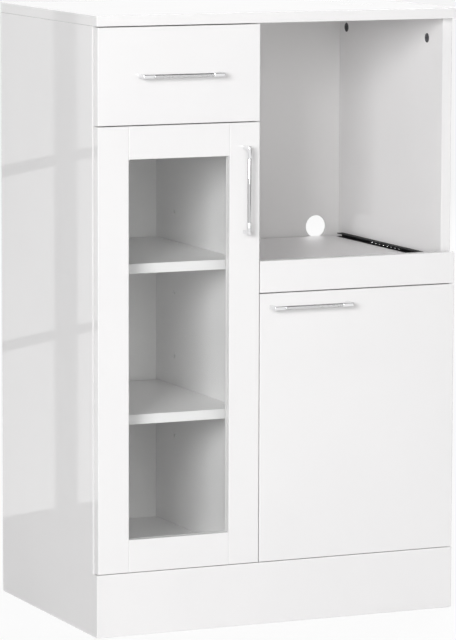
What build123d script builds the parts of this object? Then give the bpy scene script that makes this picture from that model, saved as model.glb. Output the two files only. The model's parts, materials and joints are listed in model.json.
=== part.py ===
"""A white kitchen sideboard: drawer over a glazed door, open niche with a pull-out tray over a plain door.

X runs to the right, Y to the back and Z up. The origin is the middle of the foot of the whole object,
with the handles counted in its depth. All lengths are in millimetres.
"""
from build123d import *
import os
from dataclasses import dataclass

os.makedirs("parts", exist_ok=True)

# Whole cabinet
overall_width = 600
cabinet_depth = 400
overall_height = 940
left_column_width = 267
plinth_height = 96

# Boards
board = 16
shelf_board = 15
back_board = 4
edge_radius = 1
back_inset = 10
groove_depth = 5
kick_inset = 20

# Gaps and fits
front_gap = 1.5
front_clearance = 3
end_margin = 1.5
fit = 0.2
hinge_play = 0.05
overrun = 2

# Fronts
drawer_front_height = 146.5
lower_door_height = 414.5
fascia_height = 48.5

# Glazed door
frame_width = 50
rebate_width = 8
rebate_depth = 7
glass_thickness = 4
glass_margin = 1

# Loose shelves and their pins
shelf_setback = 36
shelf_end_gap = 0.5
shelf_back_gap = 6
upper_shelf_height = 441
lower_shelf_height = 210
cupboard_shelf_height = 190
pin_radius = 2.5
pin_bite = 8
pin_reach = 7
pin_step = 64
pin_front_inset = 40
pin_back_inset = 74

# Cams, bolts and dowels
cam_radius = 7.5
cam_depth = 12.5
cam_distance = 34
cam_slot_width = 1.5
cam_slot_length = 9
cam_slot_depth = 2
bolt_radius = 3.5
bolt_bite = 11
dowel_radius = 4
dowel_half_length = 12
front_fitting_inset = 54
back_fitting_inset = 38

# Drawer box
drawer_side_board = 12
drawer_bottom_board = 4
drawer_height = 100
drawer_depth = 352
drawer_lift = 8
drawer_bottom_rise = 10
drawer_groove = 5

# Pull-out tray
tray_lip = 12.5
tray_back_gap = 4
cable_hole_radius = 18
cable_hole_rise = 15.5
cable_hole_inset = 41.5
tray_dowel_shares = (0.15, 0.5, 0.85)

# Ball slides
slide_gap = 14
slide_height = 27
slide_length = 350
slide_setback = 2
slide_sheet = 1.2
slide_rise = 5
rail_flange = 10
runner_flange = 10.4
ball_radius = 2
ball_play = 0.15
ball_count = 8
ball_pitch = 14
ball_offset = 7.5
cage_sheet = 0.8
cage_offset = 1.9
cage_flange = 6.8
cage_end = 6

# Bar handles
handle_projection = 20
handle_spacing = 128
post_length = 6
cap_length = 19
cap_width = 6
cap_radius = 1.5
bar_radius = 2.9
spigot_radius = 1.8
spigot_length = 10
handle_screw_radius = 2
handle_screw_bite = 10
handle_screw_head_radius = 4
handle_screw_head = 2.5
glass_handle_drop = 35
lower_handle_drop = 21
lower_handle_inset = 15.5

# Cup hinges
hinge_end_distance = 80
cup_radius = 17.5
cup_depth = 13
cup_edge = 3
cup_wall = 0.8
pivot_inset = 7.5
pivot_depth = 9.6
hinge_pin_radius = 1.2
hinge_pin_half_length = 6.4
eye_radius = 2.2
arm_half_width = 4
arm_sheet = 2
lug_half_width = 2
lug_gap = 0.3
plate_thickness = 4
plate_length = 28
plate_setback = 13
plate_half_height = 11
plate_screw_offset = 7.2
plate_screw_radius = 2
plate_screw_head_radius = 3
plate_screw_head = 2
plate_screw_bite = 10

# Planes and limits that the pieces share
left_x = -overall_width / 2
right_x = overall_width / 2
left_inner_x = left_x + board
right_inner_x = right_x - board
split_x = left_x + left_column_width
divider_left_x = split_x - board / 2
divider_right_x = split_x + board / 2

back_y = (cabinet_depth + handle_projection) / 2
front_y = back_y - cabinet_depth
front_back_y = front_y + board
carcass_front_y = front_back_y + front_clearance
back_panel_y = back_y - back_inset - back_board

top_underside_z = overall_height - board
fronts_bottom_z = plinth_height + front_gap
fronts_top_z = top_underside_z - front_gap
drawer_front_bottom_z = fronts_top_z - drawer_front_height
glass_door_top_z = drawer_front_bottom_z - front_gap
lower_door_top_z = fronts_bottom_z + lower_door_height
fascia_bottom_z = lower_door_top_z + front_gap
fascia_top_z = fascia_bottom_z + fascia_height
tray_top_z = fascia_top_z - tray_lip

bottom_mid_z = plinth_height + front_gap / 2
bottom_top_z = bottom_mid_z + board / 2
drawer_support_mid_z = glass_door_top_z + front_gap / 2
drawer_support_top_z = drawer_support_mid_z + board / 2
tray_support_mid_z = lower_door_top_z + front_gap / 2

left_front_x = (left_x + end_margin, split_x - front_gap / 2)
right_front_x = (split_x + front_gap / 2, right_x - end_margin)
front_board_y = (front_y, front_back_y)
carcass_y = (carcass_front_y, back_y)
fixed_shelf_y = (carcass_front_y, back_panel_y - fit)
loose_shelf_y = (carcass_front_y + shelf_setback, back_panel_y - shelf_back_gap)
groove_y = (back_panel_y - fit, back_panel_y + back_board + fit)
kick_y = (back_y - kick_inset - board, back_y - kick_inset)


def span(first, second):
    """The two limits in rising order."""
    return (min(first, second), max(first, second))


def around(middle, size):
    """The limits of a size laid evenly about its middle."""
    return (middle - size / 2, middle + size / 2)


def block(x_span, y_span, z_span, mode=Mode.ADD):
    """Add or cut a straight-sided block between two limits on each axis."""
    spans = (x_span, y_span, z_span)
    with Locations(tuple(sum(limits) / 2 for limits in spans)):
        Box(*(limits[1] - limits[0] for limits in spans), mode=mode)


def rod(start, direction, radius, length, mode=Mode.ADD):
    """Add or cut a round rod that runs from a start point along a direction."""
    with BuildSketch(Plane(origin=start, z_dir=direction)) as section:
        Circle(radius)
    extrude(section.sketch, amount=length, mode=mode)


def soften_front(piece):
    """Round the edges of a front board's visible face."""
    fillet(piece.faces().sort_by(Axis.Y)[0].edges(), edge_radius)


def save(piece, label):
    """Name a finished piece and write it."""
    piece.part.label = label
    export_step(piece.part, f"parts/{label}.step")


# Joints between boards: cams near front and back, a dowel midway

@dataclass
class BoardJoint:
    """A board held to another: along points from the mating board into the board that carries the cams."""

    cam_board: str
    mate_board: str
    x: float
    z: float
    along: tuple
    bore: tuple


front_fitting_y = carcass_front_y + front_fitting_inset
back_fitting_y = back_y - back_fitting_inset
dowel_fitting_y = (front_fitting_y + back_fitting_y) / 2
cam_stations = (front_fitting_y, back_fitting_y)

board_joints = [
    BoardJoint("left_side", "top", left_x + board / 2, top_underside_z, (0, 0, -1), (-1, 0, 0)),
    BoardJoint("right_side", "top", right_x - board / 2, top_underside_z, (0, 0, -1), (1, 0, 0)),
    BoardJoint("divider", "top", split_x, top_underside_z, (0, 0, -1), (1, 0, 0)),
    BoardJoint("bottom", "left_side", left_inner_x, bottom_mid_z, (1, 0, 0), (0, 0, 1)),
    BoardJoint("bottom", "right_side", right_inner_x, bottom_mid_z, (-1, 0, 0), (0, 0, 1)),
    BoardJoint("drawer_support", "left_side", left_inner_x, drawer_support_mid_z, (1, 0, 0), (0, 0, 1)),
    BoardJoint("drawer_support", "divider", divider_left_x, drawer_support_mid_z, (-1, 0, 0), (0, 0, 1)),
    BoardJoint("tray_support", "divider", divider_right_x, tray_support_mid_z, (1, 0, 0), (0, 0, 1)),
    BoardJoint("tray_support", "right_side", right_inner_x, tray_support_mid_z, (-1, 0, 0), (0, 0, 1)),
]

# Joints with dowels alone: the two boards, a point on the meeting faces and the way into the second
kick_mid_y = sum(kick_y) / 2
kick_mid_z = (bottom_mid_z - board / 2) / 2
side_mids = {"left_side": left_x + board / 2, "right_side": right_x - board / 2}
plinth_dowel_z = plinth_height / 2
dowel_joints = [("bottom", "divider", (split_x, y, bottom_top_z), (0, 0, 1)) for y in cam_stations]
for side, x in side_mids.items():
    dowel_joints.append(("plinth", side, (x, carcass_front_y, plinth_dowel_z), (0, 1, 0)))
dowel_joints += [
    ("left_side", "kick", (left_inner_x, kick_mid_y, kick_mid_z), (1, 0, 0)),
    ("right_side", "kick", (right_inner_x, kick_mid_y, kick_mid_z), (-1, 0, 0)),
]
for joint in board_joints:
    place = (joint.x, dowel_fitting_y, joint.z)
    dowel_joints.append((joint.mate_board, joint.cam_board, place, joint.along))


def drill_fittings(name):
    """Cut the holes for cams, bolts and dowels into the board being built."""
    for joint in board_joints:
        along = Vector(*joint.along)
        bore = Vector(*joint.bore)
        for y in cam_stations:
            corner = Vector(joint.x, y, joint.z)
            if joint.cam_board == name:
                face = corner + along * cam_distance - bore * (board / 2)
                rod(face, bore, cam_radius, cam_depth, Mode.SUBTRACT)
                rod(corner, along, bolt_radius + fit, cam_distance, Mode.SUBTRACT)
            if joint.mate_board == name:
                rod(corner, along * -1, bolt_radius, bolt_bite, Mode.SUBTRACT)
    for first, second, point, along in dowel_joints:
        if first == name:
            rod(point, Vector(*along) * -1, dowel_radius, dowel_half_length, Mode.SUBTRACT)
        if second == name:
            rod(point, along, dowel_radius, dowel_half_length, Mode.SUBTRACT)


# Shelf pins: two rows on each wall, with a spare hole above and below each shelf

@dataclass
class LooseShelf:
    """A shelf on four pins between two upright walls."""

    name: str
    wall_x: tuple
    bottom_z: float


left_bay_x = (left_inner_x, divider_left_x)
right_bay_x = (divider_right_x, right_inner_x)
loose_shelves = [
    LooseShelf("upper_glass_shelf", left_bay_x, bottom_top_z + upper_shelf_height),
    LooseShelf("lower_glass_shelf", left_bay_x, bottom_top_z + lower_shelf_height),
    LooseShelf("cupboard_shelf", right_bay_x, bottom_top_z + cupboard_shelf_height),
]
pin_rows_y = (carcass_front_y + pin_front_inset, back_panel_y - pin_back_inset)


def drill_pin_holes(wall_x, direction):
    """Cut the pin holes of the shelves that stand against one wall into the board being built."""
    for shelf in loose_shelves:
        if wall_x in shelf.wall_x:
            for y in pin_rows_y:
                for step in (-pin_step, 0, pin_step):
                    hole = (wall_x, y, shelf.bottom_z - pin_radius + step)
                    rod(hole, direction, pin_radius, pin_bite, Mode.SUBTRACT)


# Cup hinges: the side that the door hangs from, its direction into the cabinet and its two heights

@dataclass
class HingeSide:
    """Where a door's hinges are: inward is +1 on the left side and -1 on the right."""

    wall_x: float
    edge_x: float
    inward: int
    heights: tuple


glass_hinges = HingeSide(
    left_inner_x,
    left_front_x[0],
    1,
    (fronts_bottom_z + hinge_end_distance, glass_door_top_z - hinge_end_distance),
)
lower_hinges = HingeSide(
    right_inner_x,
    right_front_x[1],
    -1,
    (fronts_bottom_z + hinge_end_distance, lower_door_top_z - hinge_end_distance),
)
pivot_y = front_back_y - pivot_depth
plate_y = (carcass_front_y + plate_setback, carcass_front_y + plate_setback + plate_length)
plate_screw_y = sum(plate_y) / 2


def hinge_points(hinges):
    """Each hinge's height with the X of its pivot and of its cup's middle."""
    pivot_x = hinges.edge_x + hinges.inward * pivot_inset
    cup_x = hinges.edge_x + hinges.inward * (cup_edge + cup_radius)
    return [(pivot_x, cup_x, z) for z in hinges.heights]


def drill_cups(hinges):
    """Cut the cup bores into the back of the door piece being built."""
    for _, cup_x, z in hinge_points(hinges):
        rod((cup_x, front_back_y, z), (0, -1, 0), cup_radius, cup_depth, Mode.SUBTRACT)


def drill_plate_screws(hinges):
    """Cut the holes of the hinge plates' screws into the side panel being built."""
    for z in hinges.heights:
        for offset in (-plate_screw_offset, plate_screw_offset):
            start = (hinges.wall_x, plate_screw_y, z + offset)
            rod(start, (-hinges.inward, 0, 0), plate_screw_radius, plate_screw_bite, Mode.SUBTRACT)


# Handles: the middle of each on its front, and the way that its bar runs

@dataclass
class Handle:
    """A bar handle on a front board."""

    name: str
    x: float
    z: float
    along: tuple


handle_half = (handle_spacing + post_length) / 2
handles = {
    "drawer": Handle(
        "drawer_handle",
        sum(left_front_x) / 2,
        (drawer_front_bottom_z + fronts_top_z) / 2,
        (1, 0, 0),
    ),
    "glass_door": Handle(
        "glass_door_handle",
        left_front_x[1] - frame_width / 2,
        glass_door_top_z - glass_handle_drop - handle_half,
        (0, 0, 1),
    ),
    "lower_door": Handle(
        "lower_door_handle",
        right_front_x[0] + lower_handle_inset + handle_half,
        lower_door_top_z - lower_handle_drop,
        (1, 0, 0),
    ),
}


def foot_centres(handle):
    """The middle of each foot where it meets the front board."""
    middle = Vector(handle.x, front_y, handle.z)
    return [middle + Vector(*handle.along) * (sign * handle_spacing / 2) for sign in (-1, 1)]


def handle_spans(handle, first, last):
    """The X and Z limits of a stretch of a handle between two distances from its middle."""
    middle = Vector(handle.x, 0, handle.z)
    along = Vector(*handle.along)
    half_width = (Vector(1, 0, 1) - along) * (cap_width / 2)
    start = middle + along * first - half_width
    end = middle + along * last + half_width
    return span(start.X, end.X), span(start.Z, end.Z)


def drill_handle(handle):
    """Cut the screw holes of a handle through the front board being built."""
    for centre in foot_centres(handle):
        rod(centre, (0, 1, 0), handle_screw_radius + fit, board + overrun, Mode.SUBTRACT)


# Carcass

with BuildPart() as top_panel:
    block((left_x, right_x), (front_y, back_y), (top_underside_z, overall_height))
    fillet(top_panel.edges(), edge_radius)
    drill_fittings("top")
    for bay_x in (left_bay_x, right_bay_x):
        groove_x = (bay_x[0] - groove_depth, bay_x[1] + groove_depth)
        groove_z = (top_underside_z - overrun, top_underside_z + groove_depth)
        block(groove_x, groove_y, groove_z, Mode.SUBTRACT)
save(top_panel, "top_panel")

with BuildPart() as left_side_panel:
    block((left_x, left_inner_x), carcass_y, (0, top_underside_z))
    block(
        (left_inner_x - groove_depth, left_inner_x + overrun),
        groove_y,
        (bottom_top_z - groove_depth, top_underside_z + overrun),
        Mode.SUBTRACT,
    )
    drill_fittings("left_side")
    drill_pin_holes(left_inner_x, (-1, 0, 0))
    drill_plate_screws(glass_hinges)
save(left_side_panel, "left_side_panel")

with BuildPart() as right_side_panel:
    block((right_inner_x, right_x), carcass_y, (0, top_underside_z))
    block(
        (right_inner_x - overrun, right_inner_x + groove_depth),
        groove_y,
        (bottom_top_z - groove_depth, top_underside_z + overrun),
        Mode.SUBTRACT,
    )
    drill_fittings("right_side")
    drill_pin_holes(right_inner_x, (1, 0, 0))
    drill_plate_screws(lower_hinges)
save(right_side_panel, "right_side_panel")

with BuildPart() as centre_divider:
    block((divider_left_x, divider_right_x), carcass_y, (bottom_top_z, top_underside_z))
    divider_groove_z = (bottom_top_z - overrun, top_underside_z + overrun)
    left_groove_x = (divider_left_x - overrun, divider_left_x + groove_depth)
    right_groove_x = (divider_right_x - groove_depth, divider_right_x + overrun)
    for groove_x in (left_groove_x, right_groove_x):
        block(groove_x, groove_y, divider_groove_z, Mode.SUBTRACT)
    drill_fittings("divider")
    drill_pin_holes(divider_left_x, (1, 0, 0))
    drill_pin_holes(divider_right_x, (-1, 0, 0))
save(centre_divider, "centre_divider")

with BuildPart() as bottom_panel:
    block((left_inner_x, right_inner_x), carcass_y, around(bottom_mid_z, board))
    drill_fittings("bottom")
    for bay_x in (left_bay_x, right_bay_x):
        groove_x = (bay_x[0] - groove_depth, bay_x[1] + groove_depth)
        block(groove_x, groove_y, (bottom_top_z - groove_depth, bottom_top_z + overrun), Mode.SUBTRACT)
save(bottom_panel, "bottom_panel")

with BuildPart() as plinth_board:
    block((left_x, right_x), (carcass_front_y - board, carcass_front_y), (0, plinth_height))
    drill_fittings("plinth")
save(plinth_board, "plinth_board")

with BuildPart() as rear_kick_board:
    block((left_inner_x, right_inner_x), kick_y, (0, bottom_mid_z - board / 2))
    drill_fittings("kick")
save(rear_kick_board, "rear_kick_board")

back_panel_z = (bottom_top_z - groove_depth + fit, top_underside_z + groove_depth - fit)
back_panel_span_y = (back_panel_y, back_panel_y + back_board)


def back_panel_x(bay_x):
    """The X limits of a back panel that stands in the grooves beside a bay."""
    return (bay_x[0] - groove_depth + fit, bay_x[1] + groove_depth - fit)


with BuildPart() as left_back_panel:
    block(back_panel_x(left_bay_x), back_panel_span_y, back_panel_z)
save(left_back_panel, "left_back_panel")

with BuildPart() as right_back_panel:
    block(back_panel_x(right_bay_x), back_panel_span_y, back_panel_z)
    hole_centre = (right_inner_x - cable_hole_inset, back_panel_y, tray_top_z + cable_hole_rise)
    rod(hole_centre, (0, 1, 0), cable_hole_radius, back_board, Mode.SUBTRACT)
save(right_back_panel, "right_back_panel")

with BuildPart() as drawer_support_shelf:
    block(left_bay_x, fixed_shelf_y, around(drawer_support_mid_z, board))
    drill_fittings("drawer_support")
save(drawer_support_shelf, "drawer_support_shelf")

with BuildPart() as tray_support_shelf:
    block(right_bay_x, fixed_shelf_y, around(tray_support_mid_z, board))
    drill_fittings("tray_support")
save(tray_support_shelf, "tray_support_shelf")

for shelf in loose_shelves:
    with BuildPart() as loose_shelf:
        shelf_x = (shelf.wall_x[0] + shelf_end_gap, shelf.wall_x[1] - shelf_end_gap)
        block(shelf_x, loose_shelf_y, (shelf.bottom_z, shelf.bottom_z + shelf_board))
    save(loose_shelf, shelf.name)

with BuildPart() as shelf_pins:
    for shelf in loose_shelves:
        for wall_x, outward in zip(shelf.wall_x, (1, -1)):
            for y in pin_rows_y:
                start = (wall_x - outward * pin_bite, y, shelf.bottom_z - pin_radius)
                rod(start, (outward, 0, 0), pin_radius, pin_bite + pin_reach)
save(shelf_pins, "shelf_pins")

with BuildPart() as cam_locks:
    for joint in board_joints:
        along = Vector(*joint.along)
        bore = Vector(*joint.bore)
        for y in cam_stations:
            middle = Vector(joint.x, y, joint.z) + along * cam_distance
            face = middle - bore * (board / 2)
            rod(face, bore, cam_radius - fit, cam_depth - fit)
            rod(middle, along * -1, bolt_radius + fit, cam_radius, Mode.SUBTRACT)
            for slot_angle in (0, 90):
                with BuildSketch(Plane(origin=face, x_dir=along, z_dir=bore)) as cam_slot:
                    Rectangle(cam_slot_length, cam_slot_width, rotation=slot_angle)
                extrude(cam_slot.sketch, amount=cam_slot_depth, mode=Mode.SUBTRACT)
save(cam_locks, "cam_locks")

with BuildPart() as cam_bolts:
    for joint in board_joints:
        along = Vector(*joint.along)
        for y in cam_stations:
            start = Vector(joint.x, y, joint.z) - along * bolt_bite
            rod(start, along, bolt_radius, bolt_bite + cam_distance)
save(cam_bolts, "cam_bolts")

with BuildPart() as wood_dowels:
    for _, _, point, along in dowel_joints:
        start = Vector(*point) - Vector(*along) * dowel_half_length
        rod(start, along, dowel_radius, dowel_half_length + dowel_half_length)
save(wood_dowels, "wood_dowels")

# Ball slides: a rail on the wall, a runner on the moving piece and a cage of balls between them

slide_y = (carcass_front_y + slide_setback, carcass_front_y + slide_setback + slide_length)
slide_mid_y = sum(slide_y) / 2
ball_rise = slide_height / 2 - slide_sheet - ball_play - ball_radius
runner_half_height = ball_rise - ball_radius - ball_play
cage_half_length = (ball_count - 1) * ball_pitch / 2 + cage_end
drawer_bottom_z = drawer_support_top_z + drawer_lift
drawer_slide_z = drawer_bottom_z + drawer_height / 2
tray_slide_z = tray_top_z + slide_rise - slide_height / 2


@dataclass
class SlidePair:
    """The two slides of a moving piece: the walls that they hang on and the height of their middle."""

    name: str
    wall_x: tuple
    mid_z: float


slide_pairs = [
    SlidePair("drawer", left_bay_x, drawer_slide_z),
    SlidePair("tray", right_bay_x, tray_slide_z),
]


def from_wall(wall_x, outward, near, far):
    """The X limits between two distances from a wall."""
    return span(wall_x + outward * near, wall_x + outward * far)


for pair in slide_pairs:
    for wall_x, outward, hand in zip(pair.wall_x, (1, -1), ("left", "right")):
        with BuildPart() as rail:
            block(from_wall(wall_x, outward, 0, slide_sheet), slide_y, around(pair.mid_z, slide_height))
            for sign in (-1, 1):
                edge_z = pair.mid_z + sign * slide_height / 2
                lip_x = from_wall(wall_x, outward, 0, rail_flange)
                block(lip_x, slide_y, span(edge_z, edge_z - sign * slide_sheet))
        save(rail, f"{pair.name}_{hand}_rail")

        with BuildPart() as runner:
            web_x = from_wall(wall_x, outward, slide_gap - slide_sheet, slide_gap)
            block(web_x, slide_y, around(pair.mid_z, runner_half_height + runner_half_height))
            for sign in (-1, 1):
                edge_z = pair.mid_z + sign * runner_half_height
                lip_x = from_wall(wall_x, outward, slide_gap - runner_flange, slide_gap)
                block(lip_x, slide_y, span(edge_z, edge_z - sign * slide_sheet))
        save(runner, f"{pair.name}_{hand}_runner")

    ball_places = [
        (wall_x + outward * ball_offset, slide_mid_y + (index - (ball_count - 1) / 2) * ball_pitch, row)
        for wall_x, outward in zip(pair.wall_x, (1, -1))
        for index in range(ball_count)
        for row in (pair.mid_z - ball_rise, pair.mid_z + ball_rise)
    ]

    with BuildPart() as ball_cages:
        for wall_x, outward in zip(pair.wall_x, (1, -1)):
            cage_y = around(slide_mid_y, cage_half_length + cage_half_length)
            web_x = from_wall(wall_x, outward, cage_offset, cage_offset + cage_sheet)
            block(web_x, cage_y, around(pair.mid_z, ball_rise + ball_rise + cage_sheet))
            lip_x = from_wall(wall_x, outward, cage_offset, cage_offset + cage_flange)
            for sign in (-1, 1):
                block(lip_x, cage_y, around(pair.mid_z + sign * ball_rise, cage_sheet))
        for x, y, z in ball_places:
            hole = (x, y, z - cage_sheet)
            rod(hole, (0, 0, 1), ball_radius + ball_play, cage_sheet + cage_sheet, Mode.SUBTRACT)
    save(ball_cages, f"{pair.name}_ball_cages")

    with BuildPart() as balls:
        with Locations(*ball_places):
            Sphere(ball_radius)
    save(balls, f"{pair.name}_balls")

# Drawer

drawer_x = (left_bay_x[0] + slide_gap, left_bay_x[1] - slide_gap)
drawer_y = (front_back_y, front_back_y + drawer_depth)
drawer_z = (drawer_bottom_z, drawer_bottom_z + drawer_height)
drawer_inner_x = (drawer_x[0] + drawer_side_board, drawer_x[1] - drawer_side_board)
drawer_panel_bottom_z = drawer_bottom_z + drawer_bottom_rise
drawer_panel_z = (drawer_panel_bottom_z, drawer_panel_bottom_z + drawer_bottom_board)
drawer_slot_x = (drawer_inner_x[0] - drawer_groove, drawer_inner_x[1] + drawer_groove)
drawer_slot_y = (drawer_y[0] - drawer_groove, drawer_y[1] + overrun)

with BuildPart() as drawer_front:
    block(left_front_x, front_board_y, (drawer_front_bottom_z, fronts_top_z))
    soften_front(drawer_front)
    block(drawer_slot_x, drawer_slot_y, drawer_panel_z, Mode.SUBTRACT)
    drill_handle(handles["drawer"])
save(drawer_front, "drawer_front")

drawer_side_x = {"left": (drawer_x[0], drawer_inner_x[0]), "right": (drawer_inner_x[1], drawer_x[1])}
for hand, side_x in drawer_side_x.items():
    with BuildPart() as drawer_side:
        block(side_x, drawer_y, drawer_z)
        block(drawer_slot_x, drawer_slot_y, drawer_panel_z, Mode.SUBTRACT)
    save(drawer_side, f"drawer_{hand}_side")

with BuildPart() as drawer_back:
    block(drawer_inner_x, (drawer_y[1] - drawer_side_board, drawer_y[1]), (drawer_panel_z[1], drawer_z[1]))
save(drawer_back, "drawer_back")

with BuildPart() as drawer_bottom:
    panel_x = (drawer_slot_x[0] + fit, drawer_slot_x[1] - fit)
    block(panel_x, (drawer_slot_y[0] + fit, drawer_y[1]), drawer_panel_z)
save(drawer_bottom, "drawer_bottom")

# Pull-out tray

tray_x = (right_bay_x[0] + slide_gap, right_bay_x[1] - slide_gap)
tray_z = (tray_top_z - board, tray_top_z)
tray_width = tray_x[1] - tray_x[0]
tray_dowel_bite = board - groove_depth
tray_dowel_places = [
    (tray_x[0] + share * tray_width, front_back_y, sum(tray_z) / 2) for share in tray_dowel_shares
]

with BuildPart() as tray_shelf:
    block(tray_x, (front_back_y, back_panel_y - tray_back_gap), tray_z)
    for place in tray_dowel_places:
        rod(place, (0, 1, 0), dowel_radius, dowel_half_length, Mode.SUBTRACT)
save(tray_shelf, "tray_shelf")

with BuildPart() as tray_fascia:
    block(right_front_x, front_board_y, (fascia_bottom_z, fascia_top_z))
    soften_front(tray_fascia)
    for place in tray_dowel_places:
        rod(place, (0, -1, 0), dowel_radius, tray_dowel_bite, Mode.SUBTRACT)
save(tray_fascia, "tray_fascia")

with BuildPart() as tray_dowels:
    for place in tray_dowel_places:
        start = Vector(*place) - Vector(0, tray_dowel_bite, 0)
        rod(start, (0, 1, 0), dowel_radius, tray_dowel_bite + dowel_half_length)
save(tray_dowels, "tray_dowels")

# Glazed door: stiles run the full height, and the rails lap into their rebates

glass_door_z = (fronts_bottom_z, glass_door_top_z)
opening_x = (left_front_x[0] + frame_width, left_front_x[1] - frame_width)
opening_z = (glass_door_z[0] + frame_width, glass_door_z[1] - frame_width)
rebate_x = (opening_x[0] - rebate_width, opening_x[1] + rebate_width)
rebate_z = (opening_z[0] - rebate_width, opening_z[1] + rebate_width)
rebate_y = (front_back_y - rebate_depth, front_back_y)
rebate_cut_y = (rebate_y[0], rebate_y[1] + overrun)
stile_cut_z = (glass_door_z[0] - overrun, glass_door_z[1] + overrun)

with BuildPart() as hinge_stile:
    block((left_front_x[0], opening_x[0]), front_board_y, glass_door_z)
    soften_front(hinge_stile)
    block((rebate_x[0], opening_x[0] + overrun), rebate_cut_y, stile_cut_z, Mode.SUBTRACT)
    drill_cups(glass_hinges)
save(hinge_stile, "glass_door_hinge_stile")

with BuildPart() as handle_stile:
    block((opening_x[1], left_front_x[1]), front_board_y, glass_door_z)
    soften_front(handle_stile)
    block((opening_x[1] - overrun, rebate_x[1]), rebate_cut_y, stile_cut_z, Mode.SUBTRACT)
    drill_handle(handles["glass_door"])
save(handle_stile, "glass_door_handle_stile")

rail_places = {
    "bottom": ((glass_door_z[0], opening_z[0]), (glass_door_z[0], rebate_z[0])),
    "top": ((opening_z[1], glass_door_z[1]), (rebate_z[1], glass_door_z[1])),
}
for place, (face_z, lap_z) in rail_places.items():
    with BuildPart() as door_rail:
        block(opening_x, (front_y, rebate_y[0]), face_z)
        soften_front(door_rail)
        block(rebate_x, rebate_y, lap_z)
    save(door_rail, f"glass_door_{place}_rail")

glass_x = (rebate_x[0] + glass_margin, rebate_x[1] - glass_margin)
glass_z = (rebate_z[0] + glass_margin, rebate_z[1] - glass_margin)

with BuildPart() as glass_pane:
    block(glass_x, (rebate_y[0], rebate_y[0] + glass_thickness), glass_z)
save(glass_pane, "glass_pane")

with BuildPart() as glass_beads:
    bead_y = (rebate_y[0] + glass_thickness, rebate_y[1])
    block(rebate_x, bead_y, (rebate_z[0], opening_z[0]))
    block(rebate_x, bead_y, (opening_z[1], rebate_z[1]))
    block((rebate_x[0], opening_x[0]), bead_y, (opening_z[0] + fit, opening_z[1] - fit))
    block((opening_x[1], rebate_x[1]), bead_y, (opening_z[0] + fit, opening_z[1] - fit))
save(glass_beads, "glass_beads")

# Lower door

with BuildPart() as lower_door_panel:
    block(right_front_x, front_board_y, (fronts_bottom_z, lower_door_top_z))
    soften_front(lower_door_panel)
    drill_cups(lower_hinges)
    drill_handle(handles["lower_door"])
save(lower_door_panel, "lower_door_panel")

# Handles: a round bar let into two elbow feet, with a screw through the front board into each foot

handle_front_y = front_y - handle_projection
cap_back_y = handle_front_y + cap_width
bar_half = handle_half - cap_length
spigot_half = bar_half + spigot_length

for handle in handles.values():
    along = Vector(*handle.along)
    bar_middle = Vector(handle.x, handle_front_y + cap_width / 2, handle.z)

    with BuildPart() as handle_bar:
        rod(bar_middle - along * bar_half, along, bar_radius, bar_half + bar_half)
        reach = spigot_half - fit
        rod(bar_middle - along * reach, along, spigot_radius, reach + reach)
    save(handle_bar, f"{handle.name}_bar")

    with BuildPart() as handle_feet:
        for sign in (-1, 1):
            post_x, post_z = handle_spans(handle, sign * (handle_half - post_length), sign * handle_half)
            block(post_x, (handle_front_y, front_y), post_z)
            cap_x, cap_z = handle_spans(handle, sign * bar_half, sign * handle_half)
            block(cap_x, (handle_front_y, cap_back_y), cap_z)
        fillet(handle_feet.edges().group_by(Axis.Y)[0], cap_radius)
        rod(bar_middle - along * spigot_half, along, spigot_radius, spigot_half + spigot_half, Mode.SUBTRACT)
        for centre in foot_centres(handle):
            rod(centre, (0, -1, 0), handle_screw_radius, handle_screw_bite, Mode.SUBTRACT)
    save(handle_feet, f"{handle.name}_feet")

    with BuildPart() as handle_screws:
        for centre in foot_centres(handle):
            seat = centre + Vector(0, board, 0)
            rod(seat, (0, -1, 0), handle_screw_radius, board + handle_screw_bite)
            rod(seat, (0, 1, 0), handle_screw_head_radius, handle_screw_head)
    save(handle_screws, f"{handle.name}_screws")

# Cup hinges: a cup with two lugs in the door, and an arm on a plate that reaches in to its pin

lug_inner = arm_half_width + lug_gap

for name, hinges in (("glass_door", glass_hinges), ("lower_door", lower_hinges)):
    with BuildPart() as hinge_cups:
        for pivot_x, cup_x, z in hinge_points(hinges):
            rod((cup_x, front_back_y, z), (0, -1, 0), cup_radius, cup_depth)
            pocket_depth = cup_depth - cup_wall
            rod((cup_x, front_back_y, z), (0, -1, 0), cup_radius - cup_wall, pocket_depth, Mode.SUBTRACT)
            for sign in (-1, 1):
                lug_z = span(z + sign * lug_inner, z + sign * hinge_pin_half_length)
                lug_x = around(pivot_x, lug_half_width + lug_half_width)
                block(lug_x, (front_back_y - pocket_depth, pivot_y + lug_half_width), lug_z)
            pin_start = (pivot_x, pivot_y, z - hinge_pin_half_length)
            pin_length = hinge_pin_half_length + hinge_pin_half_length
            rod(pin_start, (0, 0, 1), hinge_pin_radius + hinge_play, pin_length, Mode.SUBTRACT)
    save(hinge_cups, f"{name}_hinge_cups")

all_hinges = (glass_hinges, lower_hinges)
arm_width = arm_half_width + arm_half_width

with BuildPart() as hinge_plates:
    for hinges in all_hinges:
        plate_x = from_wall(hinges.wall_x, hinges.inward, 0, plate_thickness)
        for z in hinges.heights:
            block(plate_x, plate_y, around(z, plate_half_height + plate_half_height))
            for offset in (-plate_screw_offset, plate_screw_offset):
                start = (hinges.wall_x, plate_screw_y, z + offset)
                rod(start, (hinges.inward, 0, 0), plate_screw_radius + fit, plate_thickness, Mode.SUBTRACT)
                head = (hinges.wall_x + hinges.inward * plate_thickness, plate_screw_y, z + offset)
                seat_radius = plate_screw_head_radius + fit
                rod(head, (-hinges.inward, 0, 0), seat_radius, plate_screw_head, Mode.SUBTRACT)
save(hinge_plates, "hinge_plates")

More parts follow.
